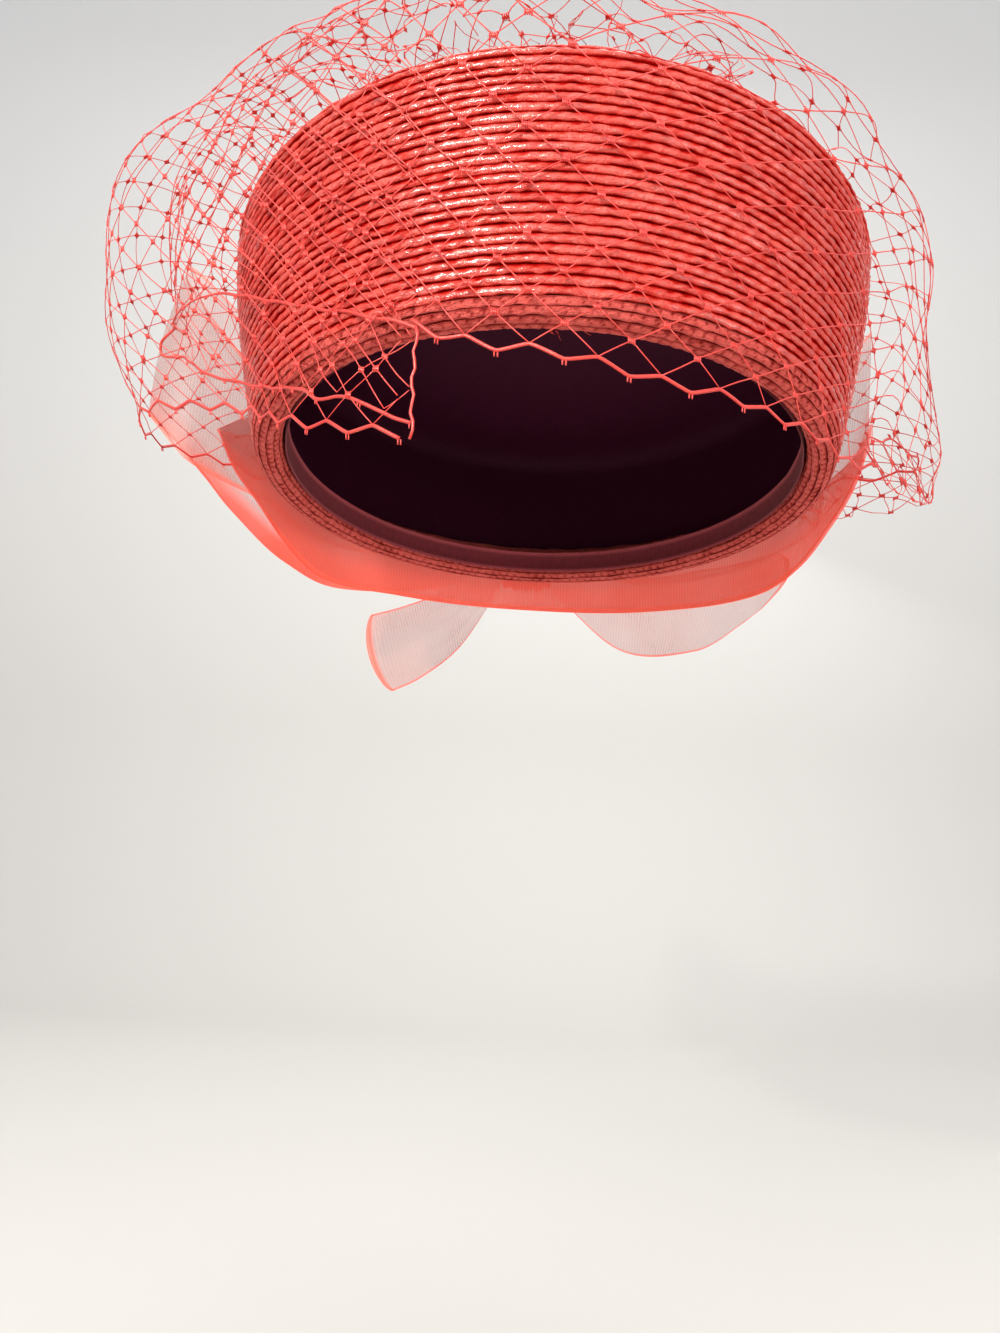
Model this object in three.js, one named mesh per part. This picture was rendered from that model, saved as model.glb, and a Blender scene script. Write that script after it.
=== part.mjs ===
// A veiled straw toque: a sewn straw-braid crown with a rolled edge, a cloth lining, a ribbon head band,
// a net veil that balloons around it, and a sheer ribbon sash with a bow at the back.
// Millimetres, +Z up through the crown, front towards -Y. The origin is the middle of the head opening.

import * as THREE from "three";

// ---------------------------------------------------------------- driving sizes
const OPENING = { halfWidth: 83.5, halfDepth: 97 }; // the oval that the head goes through, inside the roll
const ROLL_RADIUS = 4.5; // the edge turns under in a half round of this radius
const STRAW = 2; // thickness of the sewn braid
const WALL_HEIGHT = 61; // from the lowest point of the roll to the top edge
const FLARE = 9.5; // how far the top edge stands outside the rolled edge
const TIP_RISE = 8; // the top of the crown domes up this far above its edge
const FACING_TOP = 12; // the turned-under straw ends this high inside

const LINING = 0.8; // lining cloth
const BAND = { thickness: 1, bottom: 3, top: 11.5 }; // narrow ribbon head band, standing inside the opening
const GAP = 0.4; // clearance between pieces that touch

const NET = 1; // thickness of the veil's outer form
const SHEER = 1; // thickness of the ribbon's form

const AROUND = 48; // facets round the hat

// ---------------------------------------------------------------- colours
const finish = (color, roughness) => new THREE.MeshStandardMaterial({ color, roughness, metalness: 0 });
const strawRed = finish(0xd63a36, 0.35);
const liningWine = finish(0x4a0f2a, 0.7);
const bandRose = finish(0xa8433f, 0.8);
const netRed = finish(0xe5524b, 0.5);
const ribbonRed = finish(0xe3604f, 0.45);

// ---------------------------------------------------------------- small tools
const degrees = Math.PI / 180;
const mix = (a, b, t) => a + (b - a) * t;

// A point at angle `a` (0 front, 90 the viewer's right, 180 back) on an oval with these half sizes.
const onOval = (halfWidth, halfDepth, a, z) =>
  new THREE.Vector3(halfWidth * Math.sin(a * degrees), -halfDepth * Math.cos(a * degrees), z);

// A smooth value between the rows of a table that is keyed by a rising column; `turn` makes it wrap round.
function between(rows, key, place, column, turn = 0) {
  const count = rows.length;
  const at = turn ? ((place % turn) + turn) % turn : place;
  const row = (i) => {
    const lap = turn ? Math.floor(i / count) : 0;
    const found = rows[turn ? i - lap * count : Math.min(Math.max(i, 0), count - 1)];
    return { where: found[key] + lap * turn, value: found[column] };
  };
  let i = turn ? -1 : 0;
  const last = turn ? count : count - 2;
  while (i < last && row(i + 1).where <= at) i += 1;
  const [p0, p1, p2, p3] = [row(i - 1), row(i), row(i + 1), row(i + 2)];
  const span = p2.where - p1.where || 1;
  const t = Math.min(Math.max((at - p1.where) / span, 0), 1);
  const slope = (a, b) => ((b.value - a.value) / (b.where - a.where || 1)) * span;
  const [m1, m2] = [slope(p0, p2), slope(p1, p3)];
  const [t2, t3] = [t * t, t * t * t];
  const leaving = (2 * t3 - 3 * t2 + 1) * p1.value + (t3 - 2 * t2 + t) * m1;
  const arriving = (3 * t2 - 2 * t3) * p2.value + (t3 - t2) * m2;
  return leaving + arriving;
}

// A closed solid skinned over a row of rings, rings[i][j] being point j of ring i, with a fan at each end.
function solidOfRings(rings, material, name) {
  const count = rings[0].length;
  const positions = rings.flat().flatMap((p) => [p.x, p.y, p.z]);
  const faces = [];
  for (let i = 0; i + 1 < rings.length; i += 1) {
    for (let j = 0; j < count; j += 1) {
      const k = (j + 1) % count;
      const [a, b, c, d] = [i * count + j, i * count + k, (i + 1) * count + k, (i + 1) * count + j];
      faces.push(a, b, c, a, c, d);
    }
  }
  for (const [ring, first] of [[0, true], [rings.length - 1, false]]) {
    const centre = positions.length / 3;
    const middle = rings[ring].reduce((sum, p) => sum.add(p), new THREE.Vector3()).divideScalar(count);
    positions.push(middle.x, middle.y, middle.z);
    for (let j = 0; j < count; j += 1) {
      const [a, b] = [ring * count + j, ring * count + ((j + 1) % count)];
      faces.push(...(first ? [a, centre, b] : [a, b, centre]));
    }
  }
  return meshOf(positions, faces, material, name);
}

function meshOf(positions, faces, material, name) {
  const geometry = new THREE.BufferGeometry();
  geometry.setAttribute("position", new THREE.Float32BufferAttribute(positions, 3));
  geometry.setIndex(volumeOf(positions, faces) < 0 ? faces.toReversed() : faces);
  const mesh = new THREE.Mesh(geometry, material);
  mesh.name = name;
  return mesh;
}

function volumeOf(positions, faces) {
  const corner = (i) => new THREE.Vector3().fromArray(positions, 3 * i);
  let six = 0;
  for (let i = 0; i < faces.length; i += 3) {
    six += corner(faces[i]).dot(corner(faces[i + 1]).cross(corner(faces[i + 2])));
  }
  return six / 6;
}

// A sheet of even thickness about the surface `at(u, v)`, with u and v from 0 to 1. Its normal side is out.
function sheet(at, across, along, thickness, material, name, { closedU = false } = {}) {
  const columns = closedU ? across : across + 1;
  const wrap = (u) => (closedU ? u - Math.floor(u) : Math.min(Math.max(u, 0), 1));
  const step = 0.002;
  const side = (sign) => {
    const points = [];
    for (let j = 0; j <= along; j += 1) {
      for (let i = 0; i < columns; i += 1) {
        const [u, v] = [i / across, j / along];
        const du = at(wrap(u + step), v).sub(at(wrap(u - step), v));
        const dv = at(u, Math.min(v + step, 1)).sub(at(u, Math.max(v - step, 0)));
        const normal = du.cross(dv).normalize();
        points.push(at(u, v).addScaledVector(normal, (sign * thickness) / 2));
      }
    }
    return points;
  };
  const [outer, inner] = [side(1), side(-1)];
  const positions = [...outer, ...inner].flatMap((p) => [p.x, p.y, p.z]);
  const back = outer.length;
  const id = (i, j) => j * columns + (i % columns);
  const faces = [];
  const quad = (a, b, c, d) => faces.push(a, b, c, a, c, d);
  for (let j = 0; j < along; j += 1) {
    for (let i = 0; i < across; i += 1) {
      quad(id(i, j), id(i + 1, j), id(i + 1, j + 1), id(i, j + 1));
      quad(back + id(i, j + 1), back + id(i + 1, j + 1), back + id(i + 1, j), back + id(i, j));
    }
  }
  for (let i = 0; i < across; i += 1) {
    quad(back + id(i, 0), back + id(i + 1, 0), id(i + 1, 0), id(i, 0));
    quad(id(i, along), id(i + 1, along), back + id(i + 1, along), back + id(i, along));
  }
  for (let j = 0; j < along && !closedU; j += 1) {
    quad(id(0, j), id(0, j + 1), back + id(0, j + 1), back + id(0, j));
    quad(back + id(across, j), back + id(across, j + 1), id(across, j + 1), id(across, j));
  }
  return meshOf(positions, faces, material, name);
}

// ---------------------------------------------------------------- the crown's outline
const EDGE = {
  halfWidth: OPENING.halfWidth + 2 * ROLL_RADIUS,
  halfDepth: OPENING.halfDepth + 2 * ROLL_RADIUS,
};
const WALL_TOP = WALL_HEIGHT - 2.5; // the side wall ends here and the shoulder rounds over into the tip
const SHOULDER = { inset: 1.2, up: 0.4 }; // the ring between them
const TIP_EDGE = WALL_HEIGHT + 1.5; // the tip's own edge, from which it domes up

// Sections of the outer surface, from the roll up: `out` is measured from the rolled edge's oval.
const WALL_ROWS = [
  { z: ROLL_RADIUS, out: 0 },
  { z: 0.25 * WALL_HEIGHT, out: 0.27 * FLARE },
  { z: 0.55 * WALL_HEIGHT, out: 0.66 * FLARE },
  { z: 0.82 * WALL_HEIGHT, out: 0.95 * FLARE },
  { z: WALL_TOP, out: FLARE },
];
const wallOut = (z) => between(WALL_ROWS, "z", Math.min(Math.max(z, ROLL_RADIUS), WALL_TOP), "out");

// A point beside the crown: `out` from its wall at that height.
const besideWall = (a, z, out) =>
  onOval(EDGE.halfWidth + wallOut(z) + out, EDGE.halfDepth + wallOut(z) + out, a, z);

// A point over the tip: `share` of the way out to the top edge, `up` above the straw there.
const tipHeight = (share) => TIP_EDGE + (WALL_HEIGHT + TIP_RISE - TIP_EDGE) * (1 - share * share);
const overTip = (a, share, up) =>
  onOval((EDGE.halfWidth + FLARE) * share, (EDGE.halfDepth + FLARE) * share, a, tipHeight(share) + up);

const ring = (halfWidth, halfDepth, z) =>
  Array.from({ length: AROUND }, (_, i) => onOval(halfWidth, halfDepth, (360 * i) / AROUND, z));
const wallRing = (z, inside) => {
  const out = wallOut(z) - inside;
  return ring(EDGE.halfWidth + out, EDGE.halfDepth + out, z);
};
const tipRing = (share, under) => {
  const [w, d] = [EDGE.halfWidth + FLARE, EDGE.halfDepth + FLARE];
  return ring(w * share, d * share, tipHeight(share) - under);
};
// Rings of the half round that turns the edge under, at `radius` about the roll's own centre line.
const rollRings = (radius, steps) =>
  Array.from({ length: steps + 1 }, (_, i) => {
    const turn = (Math.PI * i) / steps;
    const out = -ROLL_RADIUS + radius * Math.cos(turn);
    return ring(EDGE.halfWidth + out, EDGE.halfDepth + out, ROLL_RADIUS - radius * Math.sin(turn));
  });

const WALL_LEVELS = [WALL_TOP, 50, 40, 28, 16, 9]; // heights of the rings of the side wall
const TIP_SHARES = [0.15, 0.4, 0.65, 0.85, 0.955]; // and sizes of those of the tip

// The crown is one spiral of sewn braid: tip, side wall and the edge that rolls under into a facing.
function crown() {
  const facing = (inside, z) => ring(OPENING.halfWidth + inside, OPENING.halfDepth + inside, z);
  const outside = [
    ...TIP_SHARES.map((s) => tipRing(s, 0)),
    ring(
      EDGE.halfWidth + FLARE - SHOULDER.inset,
      EDGE.halfDepth + FLARE - SHOULDER.inset,
      WALL_HEIGHT + SHOULDER.up,
    ),
    ...WALL_LEVELS.map((z) => wallRing(z, 0)),
    ...rollRings(ROLL_RADIUS, 5),
    facing(0, FACING_TOP),
  ];
  const inside = [
    facing(STRAW, FACING_TOP),
    ...rollRings(ROLL_RADIUS - STRAW, 3).toReversed(),
    ...WALL_LEVELS.toReversed().map((z) => wallRing(z, STRAW)),
    ...TIP_SHARES.slice(0, 4).toReversed().map((s) => tipRing(s, STRAW)),
  ];
  return solidOfRings([...outside, ...inside], strawRed, "crown");
}

// The lining follows the inside of the wall and the tip.
function lining() {
  const layer = (depth) => [
    ...[16, 36, 57].map((z) => wallRing(z, STRAW + GAP + depth)),
    ...[0.85, 0.3].map((s) => tipRing(s, STRAW + GAP + depth)),
  ];
  return solidOfRings([...layer(0).toReversed(), ...layer(LINING)], liningWine, "lining");
}

// The ribbon head band stands inside the facing.
function headBand() {
  const at = (u, v) => onOval(
    OPENING.halfWidth - GAP - BAND.thickness / 2,
    OPENING.halfDepth - GAP - BAND.thickness / 2,
    360 * u,
    mix(BAND.bottom, BAND.top, v),
  );
  return sheet(at, AROUND, 1, BAND.thickness, bandRose, "head_band", { closedU: true });
}

// ---------------------------------------------------------------- the veil
// One row for each direction round the hat. `hem` is how far the net's lower selvage hangs outside the
// wall and `hemZ` its height; `low` and `high` are the same at two heights of the wall; `brow` stands
// above the top edge; `crest` is how far the net puffs up over the tip on its way to the gathers.
const VEIL_ROWS = [
  { angle: 0, hem: 1.4, hemZ: -13, low: 2.0, high: 2.0, brow: 5, browZ: 78, crest: 34 },
  { angle: 35, hem: 1.6, hemZ: -11, low: 2.0, high: 2.2, brow: 4, browZ: 80, crest: 33 },
  { angle: 58, hem: 4, hemZ: -9, low: 6, high: 6, brow: 7, browZ: 82, crest: 34 },
  { angle: 78, hem: 31, hemZ: -7, low: 29, high: 19, brow: 18, browZ: 83, crest: 35 },
  { angle: 94, hem: 39, hemZ: -3, low: 39, high: 25, brow: 20, browZ: 82, crest: 34 },
  { angle: 110, hem: 26, hemZ: 2, low: 25, high: 17, brow: 14, browZ: 80, crest: 30 },
  { angle: 128, hem: 18, hemZ: 8, low: 15, high: 9, brow: 9, browZ: 76, crest: 24 },
  { angle: 150, hem: 17, hemZ: 10, low: 14.2, high: 7.2, brow: 6, browZ: 74, crest: 20 },
  { angle: 210, hem: 17, hemZ: 12, low: 14.2, high: 7.2, brow: 6, browZ: 74, crest: 20 },
  { angle: 234, hem: 18, hemZ: 20, low: 16, high: 10, brow: 12, browZ: 82, crest: 28 },
  { angle: 250, hem: 24, hemZ: 22, low: 24, high: 26, brow: 26, browZ: 88, crest: 36 },
  { angle: 266, hem: 38, hemZ: 16, low: 38, high: 45, brow: 40, browZ: 94, crest: 44 },
  { angle: 281, hem: 30, hemZ: 10, low: 32, high: 40, brow: 37, browZ: 95, crest: 47 },
  { angle: 298, hem: 5, hemZ: 0, low: 8, high: 15, brow: 17, browZ: 92, crest: 47 },
  { angle: 318, hem: 1.6, hemZ: -12, low: 2.2, high: 3, brow: 9, browZ: 86, crest: 42 },
];
const VEIL_LOW = 20; // heights of the `low` and `high` columns
const VEIL_HIGH = 50;
const CREST_SHARE = 0.68; // the crest stands over this share of the tip's size
const GATHER_SHARE = 0.13; // and the gathers lie on this share of it
// Where each station lies along the net, from the hem to the gathers.
const STATIONS = { hem: 0, roll: 0.07, low: 0.2, high: 0.36, brow: 0.52, crest: 0.74, gather: 1 };

function veilAt(a, v) {
  const at = (column) => between(VEIL_ROWS, "angle", a, column, 360);
  const [hem, low] = [besideWall(a, at("hemZ"), at("hem")), besideWall(a, VEIL_LOW, at("low"))];
  const above = at("hemZ") > 0 ? hem.clone().lerp(low, 0.5) : null;
  const stations = [
    { v: STATIONS.hem, p: hem },
    { v: STATIONS.roll, p: above ?? besideWall(a, ROLL_RADIUS, mix(at("hem"), at("low"), 0.5)) },
    { v: STATIONS.low, p: low },
    { v: STATIONS.high, p: besideWall(a, VEIL_HIGH, at("high")) },
    { v: STATIONS.brow, p: besideWall(a, at("browZ"), at("brow")) },
    { v: STATIONS.crest, p: overTip(a, CREST_SHARE, at("crest")) },
    { v: STATIONS.gather, p: overTip(a, GATHER_SHARE, NET / 2 + GAP) },
  ];
  const along = (axis) => between(stations.map((s) => ({ v: s.v, c: s.p[axis] })), "v", v, "c");
  return new THREE.Vector3(along("x"), along("y"), along("z"));
}

// The net is one strip. Its outer form is made in four panels, side by side with a small gap between.
const PANELS = [
  { name: "veil_front", from: -62, to: 58 },
  { name: "veil_right", from: 58, to: 128 },
  { name: "veil_back", from: 128, to: 234 },
  { name: "veil_left", from: 234, to: 298 },
];
function veilPanel({ name, from, to }) {
  const at = (u, v) => {
    const middle = veilAt(mix(from, to, u), v);
    const inset = GAP / 2 / Math.hypot(middle.x, middle.y) / degrees;
    return veilAt(mix(from + inset, to - inset, u), v);
  };
  return sheet(at, Math.round(((to - from) / 360) * AROUND), 13, NET, netRed, name);
}

// The strip's cut end laps over the front, left of the middle, and droops below the rest of the hem.
const LAP = {
  far: { angle: 308, out: 6, bottom: -11 },
  near: { angle: 338.5, out: 3, bottom: -28 },
  top: 8,
};
function veilEndAt(u, v) {
  const at = (column) => mix(LAP.far[column], LAP.near[column], u);
  return besideWall(at("angle"), mix(at("bottom"), LAP.top, v), at("out"));
}
const veilEnd = () => sheet(veilEndAt, 8, 4, NET, netRed, "veil_end");

// ---------------------------------------------------------------- the ribbon
// The sash goes round the back. Its top rests on the crown's top edge and it falls straight from there.
const SASH = { from: 92, to: 285, standOff: NET / 2 + GAP };
const SASH_ROWS = [
  { z: -5, out: 5.5 },
  { z: 20, out: 5 },
  { z: 44, out: 3.2 },
  { z: 58, out: 0 },
];
function sashAt(u, v) {
  const a = mix(SASH.from, SASH.to, u);
  const z = mix(SASH_ROWS[0].z, SASH_ROWS.at(-1).z, v);
  const out = FLARE + SASH.standOff + between(SASH_ROWS, "z", z, "out");
  return onOval(EDGE.halfWidth + out, EDGE.halfDepth + out, a, z);
}
const sash = () => sheet(sashAt, 26, 4, SHEER, ribbonRed, "sash");

// The bow. Each piece is a ribbon on edge: a route in plan, with the heights of its two edges.
const KNOT = { halfWidth: 12, front: 124.8, back: 138, bottom: 4, top: 46 };
const ROUTES = {
  bow_loop_left: [
    { along: 0, x: -12.3, y: 134.5, low: 19, high: 42 },
    { along: 0.16, x: -50, y: 141, low: 0, high: 60 },
    { along: 0.3, x: -96, y: 130, low: 4, high: 76 },
    { along: 0.43, x: -134, y: 104, low: 27, high: 96 },
    { along: 0.52, x: -149, y: 76, low: 40, high: 106 },
    { along: 0.58, x: -142, y: 60, low: 42, high: 104 },
    { along: 0.66, x: -124, y: 72, low: 34, high: 96 },
    { along: 0.8, x: -84, y: 101, low: 16, high: 74 },
    { along: 1, x: -12.3, y: 128, low: 19, high: 42 },
  ],
  bow_loop_right: [
    { along: 0, x: 12.3, y: 134.5, low: 20, high: 42 },
    { along: 0.18, x: 50, y: 142, low: 18, high: 64 },
    { along: 0.34, x: 92, y: 134, low: 22, high: 78 },
    { along: 0.48, x: 121, y: 110, low: 32, high: 88 },
    { along: 0.56, x: 122, y: 92, low: 36, high: 88 },
    { along: 0.64, x: 108, y: 88, low: 34, high: 84 },
    { along: 0.8, x: 70, y: 108, low: 24, high: 68 },
    { along: 1, x: 12.3, y: 128, low: 20, high: 42 },
  ],
  tail_left: [
    { along: 0, x: -12.2, y: 131.4, low: 5, high: 16 },
    { along: 0.4, x: -32, y: 134, low: -24, high: 2 },
    { along: 1, x: -58, y: 130, low: -44, high: -8 },
  ],
  tail_right: [
    { along: 0, x: 12.2, y: 131.4, low: 5, high: 18 },
    { along: 0.35, x: 46, y: 137, low: -20, high: 14 },
    { along: 0.7, x: 80, y: 128, low: -24, high: 16 },
    { along: 1, x: 106, y: 110, low: -10, high: 14 },
  ],
};
const STEPS = { bow_loop_left: 24, bow_loop_right: 22, tail_left: 6, tail_right: 10 };

function bowPiece(name) {
  const at = (u, v) => {
    const along = (column) => between(ROUTES[name], "along", u, column);
    return new THREE.Vector3(along("x"), along("y"), mix(along("low"), along("high"), v));
  };
  return sheet(at, STEPS[name], 3, SHEER, ribbonRed, name);
}

// The knot is a soft band pulled round the middle of the bow.
function bowKnot() {
  const middle = (KNOT.front + KNOT.back) / 2;
  const section = (share, z) =>
    Array.from({ length: 16 }, (_, i) => {
      const turn = (2 * Math.PI * i) / 16;
      const soften = (c) => Math.sign(c) * Math.abs(c) ** 0.4;
      return new THREE.Vector3(
        share * KNOT.halfWidth * soften(Math.cos(turn)),
        middle + share * ((KNOT.back - KNOT.front) / 2) * soften(Math.sin(turn)),
        z,
      );
    });
  const height = KNOT.top - KNOT.bottom;
  const shares = [[0, 0.72], [0.12, 0.93], [0.5, 1], [0.88, 0.93], [1, 0.72]];
  const rings = shares.map(([up, share]) => section(share, KNOT.bottom + up * height));
  return solidOfRings(rings, ribbonRed, "bow_knot");
}

// ---------------------------------------------------------------- the whole hat
const hat = new THREE.Group();
const straw = new THREE.Group();
straw.add(crown(), lining(), headBand());
const net = new THREE.Group();
net.add(...PANELS.map(veilPanel), veilEnd());
const ribbon = new THREE.Group();
ribbon.add(sash(), ...Object.keys(ROUTES).map(bowPiece), bowKnot());
hat.add(straw, net, ribbon);

export default hat;
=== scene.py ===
# %% [markdown]
# # A veiled straw toque
# This lesson dresses a small oval hat: a crown sewn from one long straw braid, a cloth lining, a
# ribbed ribbon inside the opening, a veil of diamond net that balloons round the crown, and a sheer
# ribbon tied in a bow at the back. A plain model of each piece is already there as a frame. We load
# it first, because every piece that we make has to sit where its plain model sits.

# %% Load the plain hat
import math

import bpy
import numpy as np
from mathutils import Matrix, Vector


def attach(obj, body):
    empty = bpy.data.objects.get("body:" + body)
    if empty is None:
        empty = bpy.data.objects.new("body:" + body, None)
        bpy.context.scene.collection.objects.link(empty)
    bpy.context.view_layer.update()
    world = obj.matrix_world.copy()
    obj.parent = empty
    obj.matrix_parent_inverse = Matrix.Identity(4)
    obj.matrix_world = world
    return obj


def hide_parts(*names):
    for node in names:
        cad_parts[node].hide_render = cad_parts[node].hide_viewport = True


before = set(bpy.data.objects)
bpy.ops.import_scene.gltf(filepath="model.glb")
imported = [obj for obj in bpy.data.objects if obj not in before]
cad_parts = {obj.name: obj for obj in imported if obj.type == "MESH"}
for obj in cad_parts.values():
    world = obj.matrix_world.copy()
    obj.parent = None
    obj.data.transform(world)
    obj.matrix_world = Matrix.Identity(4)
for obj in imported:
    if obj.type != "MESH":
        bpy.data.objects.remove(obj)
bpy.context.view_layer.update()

MM = 0.001  # the sizes below are in millimetres, and Blender works in metres
print("pieces of the plain hat:", ", ".join(sorted(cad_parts)))

# %% [markdown]
# ## The camera, the floor and the light
# Set the view before the pieces. The hat is looked at from in front and a little below, as when it is
# worn and the viewer is near. Such a near camera makes the front of the crown look larger than its
# sides. We give the camera its three axes directly: where it looks, and which way is up after a small
# tilt of the head.

# %% Place the camera
EYE = Vector((-10.1, -311.7, -126.1)) * MM
LOOK = Vector((0, 0.9780, 0.2086))
TILT = math.radians(3.01)
LENS = 27.0


def camera_axes(look, tilt):
    """The camera's right and up directions, after turning about the line of sight."""
    level = look.cross(Vector((0, 0, 1))).normalized()
    upright = level.cross(look)
    right = level * math.cos(tilt) + upright * math.sin(tilt)
    return right, upright * math.cos(tilt) - level * math.sin(tilt)


right, up = camera_axes(LOOK.normalized(), TILT)
camera_data = bpy.data.cameras.new("camera")
camera_data.lens = LENS
camera_data.clip_start = 0.01
camera = bpy.data.objects.new("camera", camera_data)
bpy.context.scene.collection.objects.link(camera)
turned = Matrix((right, up, -LOOK.normalized())).transposed()
camera.matrix_world = Matrix.Translation(EYE) @ turned.to_4x4()
bpy.context.scene.camera = camera
print("the camera looks up by", round(math.degrees(math.asin(LOOK.z)), 1), "degrees")

# %% [markdown]
# A helper turns arrays of points and four-sided faces into a mesh. Filling a mesh from arrays in one
# go is much faster than adding faces one by one, which matters for braid and net with many thousands
# of them.

# %% A helper that makes meshes from arrays


def make_mesh(name, points, faces, uv=None, values=None):
    """A smooth mesh object from points in mm, four-sided faces, a place on the cloth and named values."""
    mesh = bpy.data.meshes.new(name)
    points = np.reshape(points, (-1, 3))
    faces = np.asarray(faces, np.int32).reshape(-1, 4)
    mesh.vertices.add(len(points))
    mesh.vertices.foreach_set("co", (points * MM).astype(np.float32).ravel())
    mesh.loops.add(faces.size)
    mesh.loops.foreach_set("vertex_index", faces.ravel())
    mesh.polygons.add(len(faces))
    mesh.polygons.foreach_set("loop_start", np.arange(0, faces.size, 4, dtype=np.int32))
    mesh.polygons.foreach_set("use_smooth", np.ones(len(faces), bool))
    if uv is not None:
        layer = mesh.uv_layers.new(name="cloth")
        place = np.reshape(uv, (-1, 2)).astype(np.float32)
        layer.data.foreach_set("uv", place[faces.ravel()].ravel())
    for key, value in (values or {}).items():
        attribute = mesh.attributes.new(key, "FLOAT", "POINT")
        attribute.data.foreach_set("value", np.asarray(value, np.float32).ravel())
    mesh.update(calc_edges=True)
    mesh.validate()
    thing = bpy.data.objects.new(name, mesh)
    bpy.context.scene.collection.objects.link(thing)
    return thing


def grid_faces(rows, columns, closed=False):
    """The faces of a grid of points, row after row; a closed grid joins its last column to its first."""
    ids = np.arange(rows * columns).reshape(rows, columns)
    if closed:
        ids = np.concatenate([ids, ids[:, :1]], axis=1)
    a, b, c, d = ids[:-1, :-1], ids[:-1, 1:], ids[1:, 1:], ids[1:, :-1]
    return np.stack([a, b, c, d], axis=-1).reshape(-1, 4)


# %% [markdown]
# A material here is a small tree of nodes. A small class keeps the trees short to write: it starts a
# material with a Principled shader, and its `add` makes a node, sets its values and wires its inputs.
# The other methods are the steps that nearly every finish needs, such as clouds, a blend and a bump.

# %% A helper that makes materials


class Paint:
    """A material that is being wired: `add` makes a node, and `into` wires a value to the shader."""

    def __init__(self, name):
        self.material = bpy.data.materials.new(name)
        self.material.use_nodes = True
        self.tree = self.material.node_tree
        self.tree.nodes.clear()
        self.shader = self.tree.nodes.new("ShaderNodeBsdfPrincipled")
        end = self.tree.nodes.new("ShaderNodeOutputMaterial")
        self.tree.links.new(self.shader.outputs[0], end.inputs["Surface"])

    def set(self, **plain):
        """Sets plain numbers and colours on the shader itself."""
        for key, value in plain.items():
            self.shader.inputs[key.replace("_", " ")].default_value = value

    def add(self, kind, wired=None, **settings):
        """Adds a node; `settings` are its properties or inputs, and `wired` feeds inputs by name or place."""
        node = self.tree.nodes.new("ShaderNode" + kind)
        for key, value in settings.items():
            if hasattr(node, key):
                setattr(node, key, value)
            else:
                node.inputs[key.replace("_", " ")].default_value = value
        for key, source in (wired or {}).items():
            self.tree.links.new(source, node.inputs[key])
        return node

    def math(self, operation, a, b=0.0, clamp=False):
        """One step of arithmetic on two values, each a number or a node's output."""
        node = self.add("Math", operation=operation, use_clamp=clamp)
        for place, value in enumerate((a, b)):
            if isinstance(value, (int, float)):
                node.inputs[place].default_value = value
            else:
                self.tree.links.new(value, node.inputs[place])
        return node.outputs[0]

    def blend(self, share, first, second):
        """A colour between two colours, each a tuple or a node's output."""
        node = self.add("Mix", data_type="RGBA")
        for place, value in ((0, share), (6, first), (7, second)):
            if isinstance(value, (tuple, float)):
                node.inputs[place].default_value = value
            else:
                self.tree.links.new(value, node.inputs[place])
        return node.outputs[2]

    def noise(self, scale, detail=3.0, wired=None):
        """Soft random clouds, `scale` of them to a metre of the hat."""
        place = {"Vector": wired} if wired is not None else {"Vector": self.add("TexCoord").outputs["Object"]}
        return self.add("TexNoise", place, Scale=scale, Detail=detail).outputs["Fac"]

    def spread(self, value, low, high, to_low=0.0, to_high=1.0):
        """Stretches the stretch low..high of a value to another one."""
        node = self.add("MapRange", {"Value": value})
        for key, number in zip(("From Min", "From Max", "To Min", "To Max"), (low, high, to_low, to_high)):
            node.inputs[key].default_value = number
        return node.outputs[0]

    def bump(self, height, distance, strength=1.0, socket="Normal"):
        """Relief on the surface, `distance` deep in metres; a clear coat has a relief of its own."""
        node = self.add("Bump", {"Height": height}, Distance=distance, Strength=strength)
        self.into(socket, node.outputs[0])

    def into(self, socket, source):
        """Wires a node's output to an input of the shader."""
        self.tree.links.new(source, self.shader.inputs[socket])


def srgb(red, green, blue):
    """A colour given as a painter's 0 to 255 numbers, as the light values that shaders use."""
    linear = [((c / 255 + 0.055) / 1.055) ** 2.4 if c > 10 else c / 255 / 12.92 for c in (red, green, blue)]
    return (*linear, 1.0)


# %% [markdown]
# Every finished piece needs the same three things: its material, the body that it rides on (the hat
# has only one, the root), and the plain pieces that it stands for.

# %% A helper that finishes a piece


def dress(piece, material, slot, *nodes):
    """Gives a piece its material and lets it stand for some plain pieces of the hat."""
    piece.data.materials.append(material)
    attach(piece, "root")
    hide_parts(*nodes)
    return piece


# %% [markdown]
# The floor and the backdrop are one pale sheet that bends upwards far behind the hat, so no line
# shows between them. It is called stage and isn't tied to the hat's body, because it isn't part of the hat.

# %% The floor and backdrop
FLOOR = -300  # the hat is worn, so the floor lies well below it
HALF_STAGE = 2200  # half the sheet's width
BEND_START, BEND = 900, 420  # how far behind the hat the sheet bends up, and the bend's radius
STAGE_TOP = 2600


def seamless_stage():
    """A floor that bends up into a wall behind the hat."""
    turns = np.linspace(0, math.pi / 2, 14)
    bend = [(BEND_START + BEND * math.sin(t), FLOOR + BEND * (1 - math.cos(t))) for t in turns]
    outline = [(-HALF_STAGE, FLOOR), *bend, (BEND_START + BEND, STAGE_TOP)]
    points = [(x, y, z) for y, z in outline for x in (-HALF_STAGE, HALF_STAGE)]
    return make_mesh("stage", points, grid_faces(len(outline), 2))


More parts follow.
